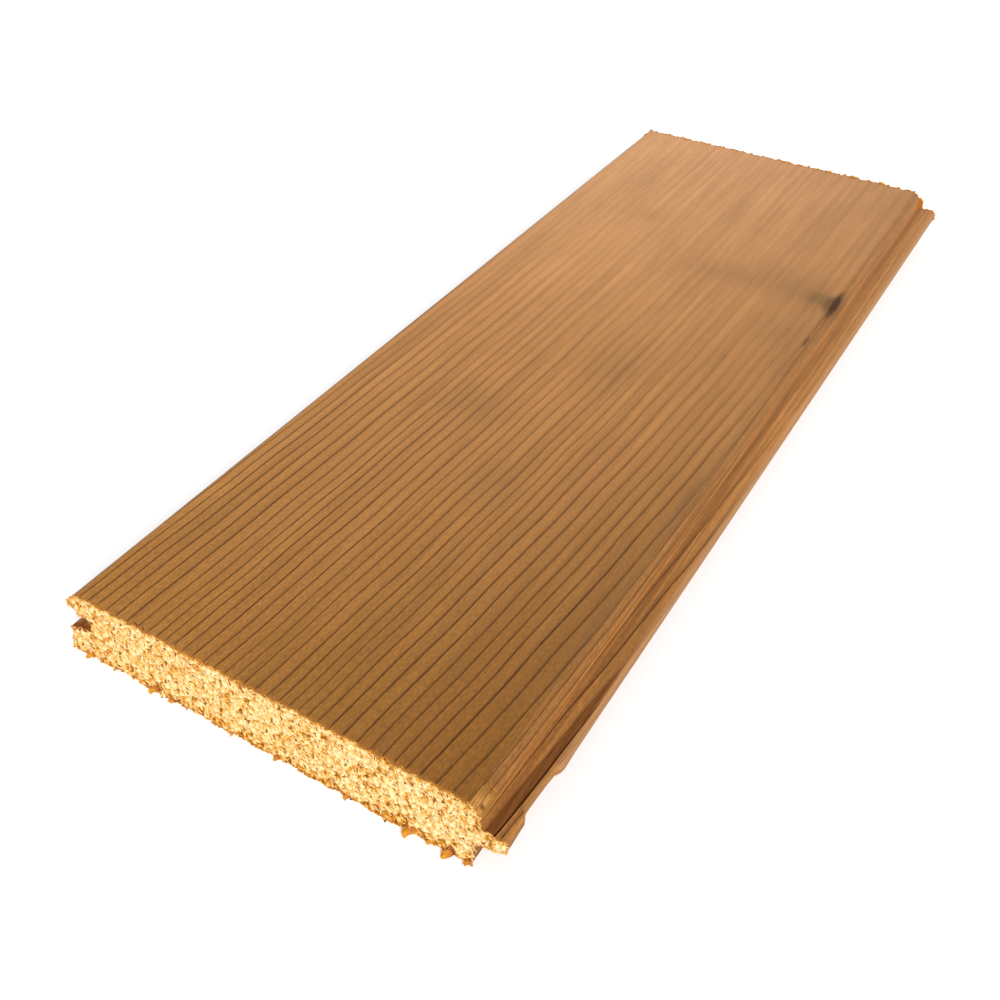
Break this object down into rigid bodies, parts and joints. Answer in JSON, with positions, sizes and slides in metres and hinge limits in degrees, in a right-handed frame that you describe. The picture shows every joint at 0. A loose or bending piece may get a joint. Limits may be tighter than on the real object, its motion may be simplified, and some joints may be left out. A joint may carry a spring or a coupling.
{
  "type": "v-joint lining board",
  "caption": "Length of planed softwood v-joint lining board, tongued and grooved, with bevelled face edges and rough-sawn ends.",
  "frame": {"origin": "centre of the board's plan, on its back face", "axes": "+X across the width, towards the tongue; +Y along the grain, away from the end with the split tongue; +Z out of the face"},
  "size_m": [0.119, 0.343, 0.018],
  "materials": {
    "softwood": "planed, unfinished; rough-sawn ends"
  },
  "bodies": {
    "root": {"lining_board": "softwood"}
  },
  "joints": []
}
